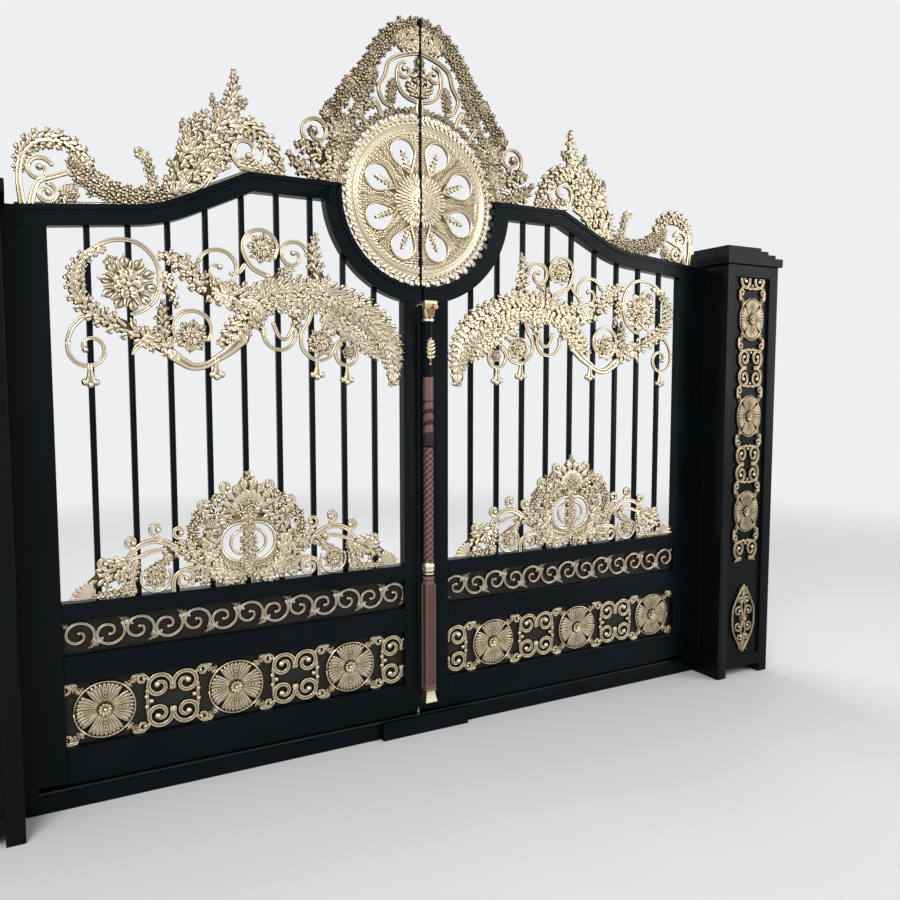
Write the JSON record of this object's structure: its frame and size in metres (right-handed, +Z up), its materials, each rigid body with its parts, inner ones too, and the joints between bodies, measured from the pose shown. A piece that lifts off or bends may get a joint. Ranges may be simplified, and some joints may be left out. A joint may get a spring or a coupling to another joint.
{
  "type": "double-leaf wrought iron driveway gate with posts",
  "caption": "Black arched double-leaf driveway gate with upright bars, gold scrollwork castings and a round medallion, hung between two square box posts.",
  "frame": {"origin": "underside of the ground sill, below the line where the two leaves meet", "axes": "+X along the gate to the right as seen from the front, +Y from the front to the back, +Z up"},
  "size_m": [3.772, 0.375, 2.94],
  "materials": {
    "frame_paint": "satin black paint",
    "post_paint": "satin black paint",
    "sheet_paint": "matt black paint",
    "hinge_steel": "black painted steel",
    "gold_casting": "brushed pale gold over dark recesses",
    "antique_casting": "antique gold, darkened",
    "copper_paint": "brown copper paint with highlights",
    "pale_gold": "pale gold"
  },
  "bodies": {
    "posts": {"ground_sill": "frame_paint", "centre_stop": "frame_paint", "left_post": "post_paint", "left_post_cap": "post_paint", "left_post_scroll_panel": "gold_casting", "left_post_oval": "gold_casting", "left_hinge_pins": "hinge_steel", "right_post": "post_paint", "right_post_cap": "post_paint", "right_post_scroll_panel": "gold_casting", "right_post_oval": "gold_casting", "right_hinge_pins": "hinge_steel"},
    "left_leaf": {"left_hinge_stile": "frame_paint", "left_meeting_stile": "frame_paint", "left_cross_rails": "frame_paint", "left_top_rail": "frame_paint", "left_bars": "frame_paint", "left_back_sheets": "sheet_paint", "left_hinge_knuckles": "hinge_steel", "left_scroll_band": "antique_casting", "left_rosette_band": "gold_casting", "left_lower_crest": "gold_casting", "left_festoon": "gold_casting", "left_top_crest": "gold_casting", "left_pediment": "gold_casting", "left_medallion": "gold_casting"},
    "right_leaf": {"right_hinge_stile": "frame_paint", "right_meeting_stile": "frame_paint", "right_cross_rails": "frame_paint", "right_top_rail": "frame_paint", "right_bars": "frame_paint", "right_back_sheets": "sheet_paint", "right_hinge_knuckles": "hinge_steel", "right_scroll_band": "antique_casting", "right_rosette_band": "gold_casting", "right_lower_crest": "gold_casting", "right_festoon": "gold_casting", "right_top_crest": "gold_casting", "right_pediment": "gold_casting", "right_medallion": "gold_casting", "column_shaft": "copper_paint", "column_neck": "frame_paint", "column_castings": "pale_gold"}
  },
  "joints": [
    {"name": "left_leaf_hinge", "type": "hinge", "parent": "posts", "child": "left_leaf", "pos_m": [-1.492, 0.025, 1], "axis": [0, 0, 1], "range_deg": [0, 90]},
    {"name": "right_leaf_hinge", "type": "hinge", "parent": "posts", "child": "right_leaf", "pos_m": [1.526, 0.025, 1], "axis": [0, 0, -1], "range_deg": [0, 90]}
  ]
}
